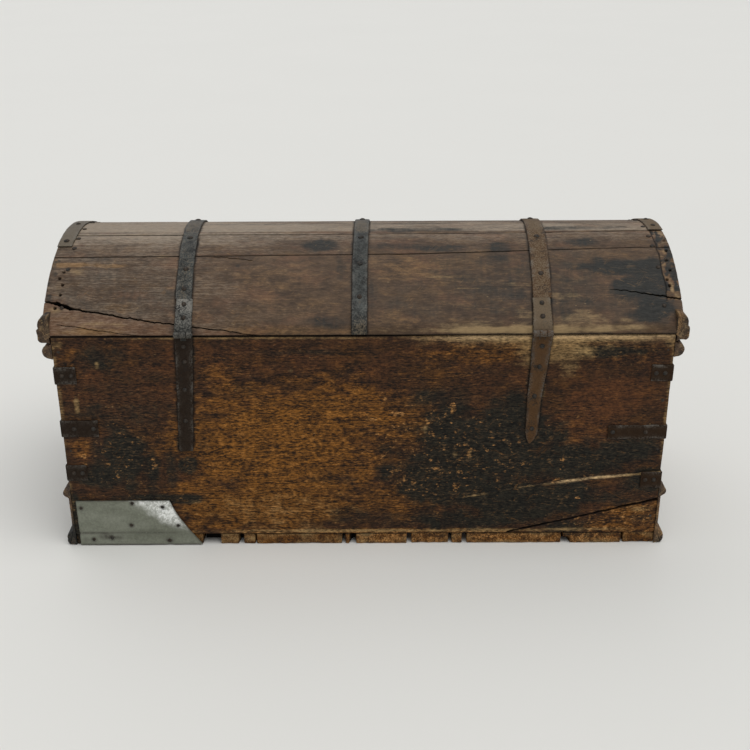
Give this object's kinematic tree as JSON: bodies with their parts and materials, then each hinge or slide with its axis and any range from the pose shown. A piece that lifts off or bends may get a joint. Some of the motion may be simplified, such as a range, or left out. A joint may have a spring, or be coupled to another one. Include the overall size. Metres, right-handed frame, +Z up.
{
  "type": "dome top trunk",
  "caption": "Wooden dome top trunk with a hinged stave lid, iron strap hinges, corner irons, end bail handles, a chest lock and a sheet metal patch on one corner.",
  "frame": {"origin": "on the floor under the middle of the case, midway between the ends and between the back and front boards", "axes": "+X along the length (to the right of someone looking at the hinge side), -Y out of the hinge side, +Y out of the lock side, +Z up"},
  "size_m": [1.242, 0.5596, 0.6083],
  "materials": {
    "case_wood": "old stain worn to bare wood in places",
    "lid_wood": "old stain, weathered, with dark water marks",
    "moulding_wood": "old stain, rubbed edges",
    "floor_wood": "bare rough sawn, weathered ends",
    "dark_iron": "forged, dark scale",
    "rusty_iron": "forged, brown rust",
    "nail_iron": "hand forged, rusted",
    "zinc_sheet": "galvanised, dulled, dented"
  },
  "bodies": {
    "case": {"back_board": "case_wood", "back_board_broken_corner": "case_wood", "front_board": "case_wood", "left_end_board": "case_wood", "right_end_board": "case_wood", "left_plinth": "moulding_wood", "right_plinth": "moulding_wood", "front_plinth": "moulding_wood", "left_rim_moulding": "moulding_wood", "right_rim_moulding": "moulding_wood", "front_rim_moulding": "moulding_wood", "left_lower_strap": "dark_iron", "right_lower_strap": "rusty_iron", "left_hinge_pin": "dark_iron", "right_hinge_pin": "rusty_iron", "back_left_corner_irons": "dark_iron", "back_right_corner_irons": "rusty_iron", "front_left_corner_irons": "dark_iron", "front_right_corner_irons": "rusty_iron", "case_rose_nails": "nail_iron", "board_nails": "nail_iron", "zinc_patch": "zinc_sheet", "zinc_patch_nails": "nail_iron", "left_handle_eyes": "dark_iron", "right_handle_eyes": "dark_iron", "lock_case": "dark_iron", "keyhole_plate": "dark_iron", "bottom_board_1": "floor_wood", "bottom_board_2": "floor_wood", "bottom_board_3": "floor_wood", "bottom_board_4": "floor_wood", "bottom_board_5": "floor_wood", "bottom_board_6": "floor_wood", "bottom_board_7": "floor_wood", "bottom_board_8": "floor_wood", "bottom_board_9": "floor_wood"},
    "lid": {"left_gable": "lid_wood", "right_gable": "lid_wood", "back_stave": "lid_wood", "rear_top_stave": "lid_wood", "crown_stave": "lid_wood", "front_top_stave": "lid_wood", "front_stave": "lid_wood", "left_lid_moulding": "moulding_wood", "right_lid_moulding": "moulding_wood", "front_lid_moulding": "moulding_wood", "left_hinge_leaf": "dark_iron", "right_hinge_leaf": "rusty_iron", "left_lid_strap": "dark_iron", "right_lid_strap": "rusty_iron", "centre_lid_strap": "dark_iron", "left_end_band": "dark_iron", "right_end_band": "rusty_iron", "lid_rose_nails": "nail_iron", "stave_nails": "nail_iron", "lock_catch": "dark_iron"},
    "left_handle": {"left_handle_bail": "dark_iron"},
    "right_handle": {"right_handle_bail": "dark_iron"},
    "bolt": {"lock_bolt": "dark_iron"}
  },
  "joints": [
    {"name": "lid_hinge", "type": "hinge", "parent": "case", "child": "lid", "pos_m": [0, -0.2671, 0.4651], "axis": [1, 0, 0], "range_deg": [0, 170]},
    {"name": "left_handle_swing", "type": "hinge", "parent": "case", "child": "left_handle", "pos_m": [-0.609, 0, 0.31], "axis": [0, 1, 0], "range_deg": [0, 170]},
    {"name": "right_handle_swing", "type": "hinge", "parent": "case", "child": "right_handle", "pos_m": [0.609, 0, 0.31], "axis": [0, -1, 0], "range_deg": [0, 170]},
    {"name": "lock_bolt_slide", "type": "slide", "parent": "case", "child": "bolt", "axis": [-1, 0, 0], "range_m": [0, 0.014]}
  ]
}
